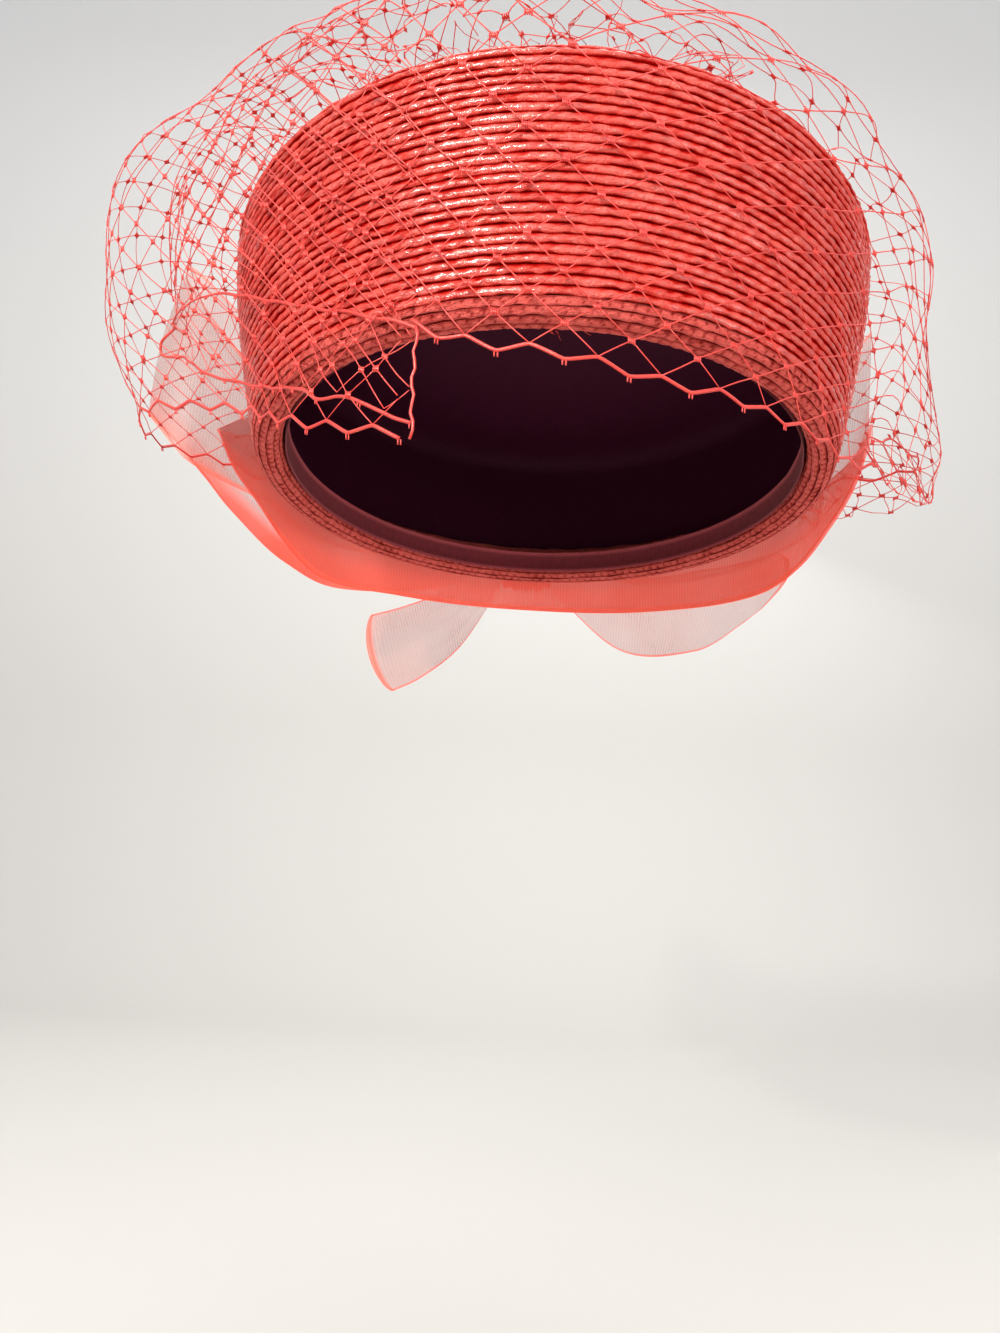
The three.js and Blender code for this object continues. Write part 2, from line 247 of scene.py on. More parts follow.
stage_paint = Paint("pale_paper")
stage_place = stage_paint.add("TexCoord").outputs["Object"]
stage_height = stage_paint.add("SeparateXYZ", {"Vector": stage_place}).outputs["Z"]
# painted light: the sheet is painted darker near the floor and lighter up the wall, in place of light that
# falls off
stage_shade = stage_paint.spread(stage_height, -0.3, 1.4)
stage_paint.into("Base Color", stage_paint.blend(stage_shade, srgb(200, 198, 194), srgb(240, 239, 237)))
stage_paint.set(Roughness=0.9)
stage = seamless_stage()
stage.data.materials.append(stage_paint.material)
print("the floor lies", -FLOOR, "mm below the crown's edge")

# %% [markdown]
# Straw and net need two kinds of light. Broad soft lamps show the colours, and those that stand above
# the hat make the shadow under each row of braid, together with shade painted into the straw's colour in
# the gaps. Two small lamps at the left make the lacquered straw glint. The stronger of the two is kept out
# of the plain light with `visible_diffuse`, so it shows only in the shine, and it can be bright without
# bleaching the colour.

# %% The lights
AIM = Vector((0, 0, 0.03))  # the lamps shine at the middle of the crown


def area_light(name, place, size, power, colour=(1.0, 0.98, 0.95)):
    """A square lamp of `size` metres and `power` watts that shines at the crown."""
    data = bpy.data.lights.new(name, "AREA")
    data.size, data.energy, data.color = size, power, colour
    lamp = bpy.data.objects.new(name, data)
    bpy.context.scene.collection.objects.link(lamp)
    lamp.location = place
    lamp.rotation_mode = "QUATERNION"
    lamp.rotation_quaternion = (AIM - Vector(place)).to_track_quat("-Z", "Y")
    return lamp


area_light("soft_key", (-0.55, -1.1, 0.75), 0.7, 9.6)
area_light("glint", (-0.50, -0.80, 0.36), 0.05, 7.2, (1.0, 0.96, 0.9))
sparkle = area_light("sparkle", (-0.46, -0.84, 0.34), 0.07, 24.0, (1.0, 0.88, 0.76))
sparkle.visible_diffuse = False
area_light("soft_fill", (1.0, -1.0, 0.5), 1.2, 7.2)
area_light("low_fill", (0.85, -0.5, -0.16), 0.5, 3.4)
area_light("soft_top", (0.0, 0.1, 1.5), 1.2, 11.0)
area_light("back_fill", (0.3, 1.0, 0.9), 1.0, 7.0)

world = bpy.data.worlds.new("room")
world.use_nodes = True
world.node_tree.nodes["Background"].inputs["Color"].default_value = (0.93, 0.95, 1.0, 1.0)
world.node_tree.nodes["Background"].inputs["Strength"].default_value = 0.55
bpy.context.scene.world = world
bpy.context.scene.view_settings.view_transform = "Standard"

# %% [markdown]
# ## The shape that everything follows
# Braid, net and ribbon all lie on or round one oval block, so we write that block down once. A point
# is found by its direction round the hat (0 is the front, 90 the right of someone who faces it, 180
# the back) and by how far outside the oval it stands. The sizes come from a head of 57 cm round.

# %% Sizes of the block
OPENING = (83.5, 97.0)  # half width and half depth of the oval opening
ROLL = 4.5  # the edge turns under in a half round of this radius
WALL_HEIGHT = 61.0
FLARE = 9.5  # the top edge stands this far outside the rolled edge
TIP_RISE = 8.0  # the middle of the tip stands this far above the wall
FACING_TOP = 12.0  # the straw is turned up inside to this height
EDGE = (OPENING[0] + 2 * ROLL, OPENING[1] + 2 * ROLL)  # half width and half depth of the rolled edge
WALL_TOP = WALL_HEIGHT - 2.5  # the shoulder starts here
TIP_EDGE = WALL_HEIGHT + 3.4  # height of the tip's edge
WALL_Z = [ROLL, 0.25 * WALL_HEIGHT, 0.55 * WALL_HEIGHT, 0.82 * WALL_HEIGHT, WALL_TOP]
WALL_OUT = [0.0, 0.27 * FLARE, 0.66 * FLARE, 0.95 * FLARE, FLARE]


def on_oval(half_width, half_depth, angle, z):
    """Points on an oval, in the direction `angle` in degrees."""
    a = np.radians(angle)
    return np.stack(np.broadcast_arrays(half_width * np.sin(a), -half_depth * np.cos(a), z), axis=-1)


def smooth(where, value, at, turn=0.0):
    """A smooth curve through the values of a table, which are numbers or whole rows of numbers.

    Beyond the table's ends it keeps the last value, unless `turn` makes the table go round and round.
    """
    where, value, at = (np.asarray(numbers, float) for numbers in (where, value, at))
    if turn:
        at = at % turn
        where = np.concatenate([where[-2:] - turn, where, where[:2] + turn])
        value = np.concatenate([value[-2:], value, value[:2]])
    else:
        where = np.concatenate([where[:1], where, where[-1:]])
        value = np.concatenate([value[:1], value, value[-1:]])
    i = np.clip(np.searchsorted(where, at, side="right") - 1, 1, len(where) - 3)
    one_a_row = (..., *[None] * (value.ndim - 1))
    span = (where[i + 1] - where[i])[one_a_row]
    t = ((at - where[i])[one_a_row] / span).clip(0, 1)
    leave = (value[i + 1] - value[i - 1]) / (where[i + 1] - where[i - 1])[one_a_row] * span
    arrive = (value[i + 2] - value[i]) / (where[i + 2] - where[i])[one_a_row] * span
    t2, t3 = t * t, t * t * t
    path = (2 * t3 - 3 * t2 + 1) * value[i] + (t3 - 2 * t2 + t) * leave
    return path + (3 * t2 - 2 * t3) * value[i + 1] + (t3 - t2) * arrive


def wall_out(z):
    """How far the wall stands outside the rolled edge at a height."""
    return smooth(WALL_Z, WALL_OUT, z)


def beside_wall(angle, z, out):
    """Points beside the crown, `out` from its wall."""
    return on_oval(EDGE[0] + wall_out(z) + out, EDGE[1] + wall_out(z) + out, angle, z)


def tip_height(share):
    """The height of the domed tip, at a share of the way out to its edge."""
    return TIP_EDGE + (WALL_HEIGHT + TIP_RISE - TIP_EDGE) * (1 - share * share)


def over_tip(angle, share, above):
    """Points over the tip, `above` the straw there."""
    return on_oval((EDGE[0] + FLARE) * share, (EDGE[1] + FLARE) * share, angle, tip_height(share) + above)


print("the rolled edge is", [round(2 * side) for side in EDGE], "mm wide and deep")

# %% [markdown]
# ## The braid's route
# The whole crown is one strip of braid, sewn row after row in a spiral. So the shape that the needle
# follows is one line up the block: down the facing inside, under in the roll, up the wall, over the
# shoulder and across the tip to its middle. Once we know how long that line is, the rows are just
# equal steps along it.

# %% The line up the block
ROW = 2.36  # one row of braid shows this much
SHOULDER = ((-0.5, 61.6), (0.1, 63.4), (1.8, 64.4))  # how far back from the top edge, and how high
TIP_SHARES = (0.955, 0.9, 0.8, 0.65, 0.5, 0.35, 0.2, 0.1, 0.012)  # shares of the way out to its edge


def line_up_the_block():
    """Half width, half depth and height along the way from the facing to the middle of the tip."""
    facing = [(*OPENING, z) for z in (FACING_TOP, 8.0, ROLL)]
    turns = np.linspace(math.pi, 0, 15)[1:-1]
    outside = [(ROLL * math.cos(t) - ROLL, ROLL - ROLL * math.sin(t)) for t in turns]
    outside += [(float(wall_out(z)), z) for z in np.linspace(ROLL, WALL_TOP, 12)]
    outside += [(FLARE - back, z) for back, z in SHOULDER]
    outside = [(EDGE[0] + out, EDGE[1] + out, z) for out, z in outside]
    tip = [((EDGE[0] + FLARE) * s, (EDGE[1] + FLARE) * s, tip_height(s)) for s in TIP_SHARES]
    return np.array([*facing, *outside, *tip])


def length_so_far(points):
    """The length of each line of points up to each of its points."""
    steps = np.linalg.norm(np.diff(points, axis=-2), axis=-1)
    return np.concatenate([0 * steps[..., :1], steps.cumsum(axis=-1)], axis=-1)


BLOCK = line_up_the_block()
ALONG = length_so_far(np.stack([BLOCK[:, :2].mean(axis=1), BLOCK[:, 2]], axis=-1))
WALL_START = ALONG[2] + math.pi * ROLL  # the roll ends and the wall starts here
ROWS = ALONG[-1] / ROW
print("rows of braid:", round(ROWS), "of which", round((ALONG[-1] - WALL_START) / ROW), "show outside")


def unit(way):
    """The same directions with a length of one."""
    return way / np.maximum(np.linalg.norm(way, axis=-1, keepdims=True), 1e-9)


def on_block(angle, along):
    """Points of the block's surface, and the way out from it."""
    def place(at):
        w, d, z = (np.interp(at, ALONG, BLOCK[:, k]) for k in range(3))
        return on_oval(w, d, angle, z)
    up_line = place(along + 0.6) - place(along - 0.6)
    a = np.radians(angle)
    w, d = (np.interp(along, ALONG, BLOCK[:, k]) for k in range(2))
    round_line = np.stack(np.broadcast_arrays(w * np.cos(a), d * np.sin(a), 0 * w), axis=-1)
    return place(along), unit(np.cross(round_line, up_line))


# %% [markdown]
# ## Straw braid
# Look closely at sewn straw and each row is a flat plait, laid so that its lower edge covers the top
# of the row below. The plait makes small slanted pads, and a dark line of shadow lies under each
# lower edge. A picture of that would look flat at the crown's outline, so we make it as real relief:
# six points across each row, lifted off the block, with the lower lip hanging over the gap. Along
# the row the pads rise and fall, a little unevenly, as hand-sewn braid does.

# %% One function for every stretch of braid
LIP = [  # across one row, from its lower edge up: where, how high, and how much the pads lift it
    (0.12, -0.50, 0.00),
    (-0.03, 0.18, 0.45),
    (0.07, 0.64, 0.85),
    (0.33, 0.80, 1.00),
    (0.62, 0.60, 1.00),
    (0.90, 0.14, 0.45),
]
PAD = 4.4  # length of one pad of the plait along the row
STITCH = 3.3  # from one stitch to the next where they show, on the edge that turns under
ROUND = 2 * math.pi * np.interp(np.arange(ROWS + 2) * ROW, ALONG, BLOCK[:, :2].mean(axis=1))
LAID = np.concatenate([[0], np.cumsum(ROUND)])  # length of braid used up by each row's start
print("metres of braid in the crown:", round(LAID[int(ROWS)] / 1000, 1))


def uneven(at, step, seed):
    """A smooth random number between -1 and 1 for each place, that changes every `step`."""
    dice = np.random.RandomState(seed).uniform(-1, 1, 4096)
    place = np.asarray(at) / step
    i = np.floor(place).astype(int)
    t = place - i
    t = t * t * (3 - 2 * t)
    return dice[i % 4096] * (1 - t) + dice[(i + 1) % 4096] * t


def braid(name, first_row, last_row, columns, relief=1.0, sunk=0.0, stitch=0.0):
    """Rows of sewn braid as one spiral strip of the block; `stitch` is how deep the stitches pull in."""
    rows = np.arange(first_row, last_row)
    row, line = (grid.reshape(-1, 1) for grid in np.meshgrid(rows, np.arange(len(LIP)), indexing="ij"))
    across, rise, lift = (np.array(LIP)[line, k] for k in range(3))
    lap = np.arange(columns + 1) / columns
    turns = row + lap
    length = np.interp(turns, np.arange(len(LAID)), LAID)
    # the pads: a regular wave, out of step on the row's upper half, with two uneven ones over it
    wave = np.sin(2 * math.pi * (length / PAD + np.where(across > 0.5, 0.5, 0.0) + 0.5 * across))
    pads = 0.11 * wave + 0.15 * uneven(length + 7 * across, 2.1, 3)
    pads = pads + 0.15 * uneven(length + 31 * row, 7.3, 5)
    # the hollow under the lip, and the slanted stitches
    hollow = np.where(line == 0, 0.16 * uneven(length, 5.0, 11), 0)
    slanted = (length / STITCH + 0.45 * across) % 1 - 0.5
    seam = np.exp(-(slanted / 0.13) ** 2) * np.exp(-((across - 0.45) / 0.22) ** 2)
    height = relief * (rise + lift * pads + hollow) - stitch * seam - sunk
    # the lip's edge is a little ragged
    ragged = 0.10 * uneven(length, 2.4, 17) + 0.08 * uneven(length, 6.1, 19)
    along = (turns + across + np.where(line < 3, ragged, 0)) * ROW
    angle = np.broadcast_to(180 + 360 * lap, along.shape)
    here, out = on_block(angle, np.clip(along, 0.7, ALONG[-1] - 0.7))
    uv = np.stack([length / 100, (row + 0 * lap + across) * ROW / 100], axis=-1)
    faces = grid_faces(len(row), columns + 1)
    return make_mesh(name, here + out * height[..., None], faces, uv, {"relief": height})


# %% [markdown]
# ## Lacquered straw
# The straw is dyed coral red and finished with a clear lacquer, so it has two shines: a soft one from
# the dyed straw, and hard small glints from the lacquer. The coat inputs of the Principled shader
# give the second. The coat doesn't feel the shader's plain bump, so it gets a fine one of its own,
# and that breaks the shine up into glints. Fine fibres run along each straw. Deep down in the gaps,
# where light hardly reaches, and in the stitch dents, shade is painted into the colour. For that we
# saved the height of the relief at each point of the mesh.

# %% The straw's finish


def straw_paint(name, light, body, shadow, gloss, shade_from=0.2, shade_at=-0.25):
    """Dyed straw with fibres along the row, and painted shade in the gaps and dents."""
    paint = Paint(name)
    relief = paint.add("Attribute", attribute_name="relief").outputs["Fac"]
    cloth = paint.add("UVMap", uv_map="cloth").outputs[0]

    def grain(detail, along, across):
        """Clouds drawn out along the row: so many of them to 10 cm along the braid and across it."""
        drawn_out = paint.add("Mapping", {"Vector": cloth}, Scale=(along, across, 1.0)).outputs[0]
        return paint.noise(1.0, detail, drawn_out)

    fibres = grain(4.0, 28.0, 420.0)
    blotch = grain(2.0, 13.0, 40.0)
    tone = paint.blend(paint.spread(blotch, 0.3, 0.7), body, light)
    tone = paint.blend(paint.spread(fibres, 0.35, 0.75, 0.0, 0.22), tone, shadow)
    # painted shade: where the relief sinks into the gaps and stitch dents, the colour turns to the shadow
    # colour
    tone = paint.blend(paint.spread(relief, shade_from, shade_at), tone, shadow)
    paint.into("Base Color", tone)
    paint.into("Roughness", paint.spread(fibres, 0.3, 0.7, gloss, gloss + 0.2))
    paint.into("Coat Weight", paint.spread(relief, 0.1, 0.5, 0.0, 1.0 if gloss < 0.4 else 0.1))
    paint.into("Specular IOR Level", paint.spread(relief, -0.1, 0.4, 0.0, 0.45))
    paint.set(Coat_Roughness=0.14, Coat_IOR=1.6)
    flakes = grain(3.0, 105.0, 170.0)
    paint.bump(paint.math("ADD", fibres, paint.math("MULTIPLY", flakes, 2.2)), 0.0005, 1.0)
    paint.bump(grain(2.0, 230.0, 300.0), 0.00013, 1.0, "Coat Normal")
    return paint.material


straw = straw_paint("lacquered_straw", srgb(240, 90, 74), srgb(224, 64, 54), srgb(176, 14, 12), 0.3)
straw_under = straw_paint("straw_underside", srgb(230, 100, 90), srgb(212, 80, 72), srgb(110, 10, 12), 0.6,
                          shade_from=0.05)
print("finishes of the straw:", straw.name, "and", straw_under.name)

# %% [markdown]
# The crown is laid in four stretches, so that no mesh gets too heavy: the edge that rolls under, the
# lower and the upper wall, and the tip. The tip lies under the gathered net, so it needs fewer points.
# All four stand for the plain crown, which is then hidden.

# %% Lay the crown's braid
WALL_LINE = 59.5  # from the start of the wall up to the turn of the shoulder
WALL_ROW = int(WALL_START / ROW)
MIDDLE_ROW = WALL_ROW + 12
TIP_ROW = int((WALL_START + WALL_LINE) / ROW)
LAST_ROW = int(ROWS)
crown_rows = {  # first and last row, points in a row, relief, how far sunk, finish, depth of the stitches
    "crown_edge": (0, WALL_ROW, 760, 0.42, 0.2, straw_under, 0.42),
    "crown_wall_low": (WALL_ROW, MIDDLE_ROW, 800, 1.0, 0.45, straw, 0.0),
    "crown_wall_high": (MIDDLE_ROW, TIP_ROW, 800, 1.0, 0.45, straw, 0.0),
    "crown_tip": (TIP_ROW, LAST_ROW, 210, 1.0, 0.45, straw, 0.0),
}
for name, (first, last, columns, relief, sunk, paint, stitch) in crown_rows.items():
    piece = dress(braid(name, first, last, columns, relief, sunk, stitch), paint, "straw_braid", "crown")
    print(name, "rows", first, "to", last, "faces", len(piece.data.polygons))

# %% [markdown]
# Seen from below, the wrong side of the braid shows between the lining and the edge. One smooth skin
# on the inside closes the crown there, a braid's thickness in from the relief.

# %% The inside of the straw
BRAID = 1.6  # thickness of the braid


def inside_of_straw():
    """The braid's wrong side, from the top of the facing up to the tip's edge."""
    steps = np.linspace(0.8, WALL_START + 64, 60)
    along, angle = np.meshgrid(steps, np.arange(0, 360, 2.5), indexing="ij")
    here, out = on_block(angle, along)
    ripple = 0.18 * np.sin(2 * math.pi * along / ROW * 3)
    points = here - out * (BRAID + ripple)[..., None]
    uv = np.stack([angle / 60, along / 100], axis=-1)
    faces = grid_faces(*along.shape, closed=True)[:, ::-1]
    return make_mesh("crown_inside", points, faces, uv, {"relief": np.full(along.shape, 0.4)})


inside = dress(inside_of_straw(), straw_under, "straw_braid", "crown")
print("faces inside the crown:", len(inside.data.polygons))

# %% [markdown]
# ## Lining and head band
# The lining is a cap of thin wine-red cloth, caught along its lower edge, so it hangs in soft
# gathers. It is one smooth sheet, with folds that are deepest at its hem and die out over the tip.
# Its colour is painted much darker than the cloth: a painted shade for the dark inside of the crown.

# %% The lining
LINING_HEM, LINING_TOP = 16.0, 57.0  # heights of its lower edge and of its last ring beside the wall
LINING_FOLDS = 36
LINING_SHARES = (0.93, 0.86, 0.75, 0.6, 0.45, 0.3, 0.15, 0.03, 0.0)  # shares of the way out, under the tip


def lining_cap():
    """A cap of cloth just inside the wall and under the tip."""
    angle = np.arange(0, 360, 1.0)
    fold = np.sin(np.radians(angle * LINING_FOLDS) + 2 * uneven(angle, 9.0, 23))
    depth = 1.6 + 1.1 * (0.5 + 0.5 * fold)
    rings = []
    for z in np.linspace(LINING_HEM, LINING_TOP, 14):
        fade = 1 - 0.7 * (z - LINING_HEM) / (LINING_TOP - LINING_HEM)
        rings.append(beside_wall(angle, z, -(2.2 + depth * fade)))
    rings += [over_tip(angle, share, -(2.6 + 0.5 * depth * share)) for share in LINING_SHARES]
    up = np.arange(len(rings)) * 0.04
    uv = np.stack([np.tile(angle / 60, len(rings)), np.repeat(up, len(angle))], axis=-1)
    faces = grid_faces(len(rings), len(angle), closed=True)[:, ::-1]
    return make_mesh("lining_cap", rings, faces, uv)


lining_paint = Paint("wine_cloth")
# painted shade: both wine colours are much darker than the cloth, standing for the deep shade inside the
# crown
lining_tone_and_shade = lining_paint.blend(lining_paint.noise(900.0, 2.0), srgb(40, 4, 21), srgb(64, 9, 36))
lining_paint.into("Base Color", lining_tone_and_shade)
lining_paint.set(Roughness=0.7, Specular_IOR_Level=0.12)
lining_paint.bump(lining_paint.noise(2600.0, 2.0), 0.0001, 0.5)
lining = dress(lining_cap(), lining_paint.material, "lining_cloth", "lining")
print("folds in the lining:", LINING_FOLDS)

# %% [markdown]
# The head band is a narrow ribbed ribbon of the kind sewn into most hats. Its ribs run from edge to
# edge, less than one to a millimetre, and its two edges are finished with a small firm cord, a little
# paler than the ribbon. The ribs are real ridges, because the band's edge is seen against the dark
# inside, where a painted rib would vanish. The cord's thickness is saved with the mesh, so that the
# colour can follow it.

# %% The head band
BAND_LOW, BAND_HIGH = 3.0, 11.5  # heights of its two edges
RIBS = 440
BAND_ROWS = [  # height, and how much the cord thickens the band there
    (BAND_LOW, 0.25), (BAND_LOW + 0.5, 0.4), (BAND_LOW + 1.1, 0.25), (BAND_LOW + 2, 0), (7, 0), (9, 0),
    (BAND_HIGH - 1.3, 0.25), (BAND_HIGH - 0.5, 0.5), (BAND_HIGH, 0.3),
]


def head_band():
    """A ribbed ribbon standing inside the opening."""
    angle = np.arange(RIBS * 3) * 360 / (RIBS * 3)
    rib = np.where(np.arange(RIBS * 3) % 3 == 0, 0.16, -0.06)
    rings = []
    for z, cord in BAND_ROWS:
        sway = 0.25 * uneven(angle, 14.0, 31) * (z - BAND_LOW) / (BAND_HIGH - BAND_LOW)
        inward = 0.75 + rib + cord + np.abs(sway)
        rings.append(on_oval(OPENING[0] - inward, OPENING[1] - inward, angle, z))
    heights, cords = np.repeat(BAND_ROWS, len(angle), axis=0).T
    uv = np.stack([np.tile(angle / 60, len(BAND_ROWS)), heights / 100], axis=-1)
    faces = grid_faces(len(BAND_ROWS), len(angle), closed=True)[:, ::-1]
    return make_mesh("ribbed_band", rings, faces, uv, {"cord": cords})


band_paint = Paint("ribbed_ribbon")
band_tone = band_paint.blend(band_paint.noise(500.0), srgb(92, 20, 30), srgb(126, 38, 46))
band_cord = band_paint.add("Attribute", attribute_name="cord").outputs["Fac"]
band_tone = band_paint.blend(band_paint.spread(band_cord, 0.1, 0.45), band_tone, srgb(168, 70, 76))
band_paint.into("Base Color", band_tone)
band_paint.set(Roughness=0.75, Specular_IOR_Level=0.3, Sheen_Weight=0.08)
band_paint.bump(band_paint.noise(3000.0, 2.0), 0.0001, 0.6)
band = dress(head_band(), band_paint.material, "band_ribbon", "head_band")
print("ribs in the head band:", RIBS)

# %% [markdown]
# ## The veil's shape
# The veil is one strip of net, about 20 cm wide. Its lower edge, the selvage, hangs just below the
# crown's edge in front and stands off in a wing at each side, and the other edge is gathered to the
# middle of the tip. We describe it as curves that climb from the selvage to the gathers, one for each
# direction in the table, and let smooth curves fill in between. The strip is longer than the way
# round: it starts under itself at the left, goes once round by the front, the right and the back, and
# ends in a cut edge that laps over the front. So a place along it is an angle that may go below 0.

# %% The veil's tables
# direction, and then how far outside the wall the net is at its hem, at two heights of the wall and
# above the top edge, how high that last place is, and how far the net puffs up over the tip
VEIL = np.array([
    (0, 1.4, 2.0, 2.0, 5, 78, 34), (35, 1.6, 2.0, 2.2, 4, 80, 33), (58, 4, 6, 6, 7, 82, 34),
    (78, 20, 25, 19, 18, 83, 35), (94, 39, 39, 25, 20, 82, 34), (110, 26, 25, 17, 14, 80, 30),
    (128, 18, 15, 9, 9, 76, 24), (150, 17, 14.2, 7.2, 6, 74, 20), (210, 17, 14.2, 7.2, 6, 74, 20),
    (234, 18, 16, 10, 12, 82, 28), (250, 24, 24, 26, 26, 88, 36), (266, 38, 38, 45, 40, 94, 44),
    (281, 30, 32, 40, 37, 95, 47), (298, 5, 8, 15, 17, 92, 47), (318, 1.6, 2.2, 3, 9, 86, 42),
])
HEM_HEIGHT = np.array([  # place along the strip, and the height of the hem there
    (-100, 48), (-84, 44.5), (-79, 42.5), (-65, 34.5), (-57, 27.5), (-47, 19), (-39, 12), (-31, 6),
    (-24, 1), (-15, -5.5), (0, -10.5), (12, -13), (28, -13.4), (38, -12.6), (58, -9.5), (70, -8.5),
    (80, -6), (88, 1), (94, 6), (102, 10), (110, 13), (120, 14), (132, 12), (150, 10), (210, 12),
    (234, 20), (250, 22), (266, 16), (281, 10), (298, -1), (307, -9), (318, -17), (330, -24),
    (338.5, -27.5), (345, -29),
])
TUCK = np.array([  # place along the strip, and how far its hem is turned up and in there
    (60, 0, 0), (70, 6, 2), (80, 20, 14), (86, 22, 15), (92, 17, 6), (98, 14, 3), (106, 14, 8),
    (116, 9, 7), (128, 0, 0),
])
LOW, HIGH = 20.0, 50.0  # the two heights of the wall
STATIONS = (0, 0.06, 0.12, 0.23, 0.39, 0.54, 0.75, 1.0)  # shares of the climb at the curve's eight points
CREST, GATHER = 0.68, 0.13  # shares of the tip's size where the net puffs and where it is gathered


def veil_curves(place, inset=0.0, sink=0.0, hem_height=HEM_HEIGHT):
    """For each place along the strip, the eight points that its curve climbs through.

    `inset` brings the strip's start in under its own lap, and `sink` lowers the net over the tip.
    """
    hem, low, high, brow, brow_z, crest = smooth(VEIL[:, 0], VEIL[:, 1:], place, turn=360).T
    hem_z = smooth(hem_height[:, 0], hem_height[:, 1], place)
    turn_up, turn_in = smooth(TUCK[:, 0], TUCK[:, 1:], place).T
    under = inset * np.clip((-place - 6) / 30, 0, 1)
    hem, low, high, brow = (np.maximum(out * (1 - 0.45 * under), 1.2) - 0.5 * under
                            for out in (hem, low, high, brow))
    hem = hem + (low - hem) * (hem_z / LOW).clip(0, 1)
    hem = hem + (high - low) * ((hem_z - LOW) / (HIGH - LOW)).clip(0, 1)
    at_hem = beside_wall(place, hem_z + turn_up, hem - turn_in)
    at_fold = beside_wall(place, hem_z, hem)
    at_low = beside_wall(place, np.maximum(LOW, hem_z + 6), low)
    beside_roll = beside_wall(place, ROLL, (hem + low) / 2)
    at_roll = np.where((hem_z > 0)[:, None], (at_fold + at_low) / 2, beside_roll)
    folded = (turn_up / 6).clip(0, 1)[:, None]
    at_fold = at_fold * folded + (0.6 * at_hem + 0.4 * at_roll) * (1 - folded)
    at_high = beside_wall(place, np.maximum(HIGH, hem_z + 14), high)
    at_brow = beside_wall(place, brow_z - 0.7 * sink, brow - 0.4 * sink)
    at_crest = over_tip(place, CREST, crest - 2 * under - sink)
    at_gather = over_tip(place, GATHER, 1.2 + under)
    return np.stack([at_hem, at_fold, at_roll, at_low, at_high, at_brow, at_crest, at_gather])


print("the veil stands off by up to", VEIL[:, 1:4].max(), "mm beside the wall")

# %% [markdown]
# A net must keep its mesh size wherever it goes, so it has to be laid out by real length and not by
# angle. We measure each climbing curve and mark it off in equal shares, and we mark off the strip
# itself by its length round the wall. Then we crumple the part above the crown with soft random
# waves, because gathered net never lies smooth.

# %% Lay the cloth out by length
SHARES = 90  # points up the strip
LAID_AT = 0.25  # the strip is measured along the line at this share of its width


class Cloth:
    """A strip of net as a grid of points: along the strip in mm, and up it as a share of its width.

    `top` is the share of its width that is made, and `gathered` is how much more net there is than way.
    """

    def __init__(self, first, last, top=1.0, crumple=1.0, gathered=1.0, seed=41, **shape):
        self.place, self.top = np.arange(first, last + 1.25, 1.5), top
        curves = smooth(STATIONS, veil_curves(self.place, **shape), np.linspace(0, 1, 140))
        curves = curves.transpose(1, 0, 2)
        climbed = length_so_far(curves)
        share = np.linspace(0, top, SHARES)
        self.grid = np.array([[np.interp(share * rise[-1], rise, curve[:, k]) for k in range(3)]
                              for rise, curve in zip(climbed, curves)]).transpose(0, 2, 1)
        self.width = float(climbed[:, -1].mean()) * top
        self.along = length_so_far(self.grid[:, int(LAID_AT / top * SHARES)]) * gathered
        self.length = float(self.along[-1])
        self.crumple(crumple, seed)
        self.normal = unit(np.cross(np.gradient(self.grid, axis=0), np.gradient(self.grid, axis=1)))

    def crumple(self, amount, seed):
        """Soft waves, hardly any at the hem and most above the crown's edge."""
        dice = np.random.RandomState(seed)
        up = np.linspace(0, self.top, SHARES)
        loose = (((up - 0.40) / 0.25).clip(0, 1) * amount + 0.10)[:, None]
        s, w = np.meshgrid(self.along, up * self.width / self.top, indexing="ij")
        for wave in (62.0, 38.0, 24.0, 17.0):
            for _ in range(3):
                turn, phase = dice.uniform(0, 2 * math.pi, 2)
                way = dice.uniform(-1, 1, 3) * (1, 1, 0.8)
                ripple = np.sin(2 * math.pi * (s * math.cos(turn) + w * math.sin(turn)) / wave + phase)
                self.grid = self.grid + ripple[..., None] * way * loose * (0.055 * wave)

    def at(self, s, w, of=None):
        """Points of the cloth at lengths s along the strip and w up it, both in mm."""
        of = self.grid if of is None else of
        i = np.interp(s, self.along, np.arange(len(self.along))).clip(0, len(self.along) - 1.001)
        j = np.asarray(w) / self.width * (SHARES - 1)
        i0, j0 = i.astype(int), np.clip(j, 0, SHARES - 1.001).astype(int)
        a, b = (i - i0)[..., None], (j - j0)[..., None]
        low = of[i0, j0] * (1 - a) + of[i0 + 1, j0] * a
        high = of[i0, j0 + 1] * (1 - a) + of[i0 + 1, j0 + 1] * a
        return low * (1 - b) + high * b

    def out(self, s, w):
        """The way out from the cloth there."""
        return unit(self.at(s, w, self.normal))


# %% [markdown]
# ## Diamond net
# Millinery net is made of stiff thread. Each diamond is about 16 mm wide and 12 mm high, and where
# threads meet they are bound in a flat knot of four little bars side by side, which looks like a tiny
# ladder. The threads leave the knot at its four corners. Everything here is a thin bar along a few
# points, so one function makes all bars of a net at once, with a flattened diamond for a section.

# %% Thin bars along many short routes


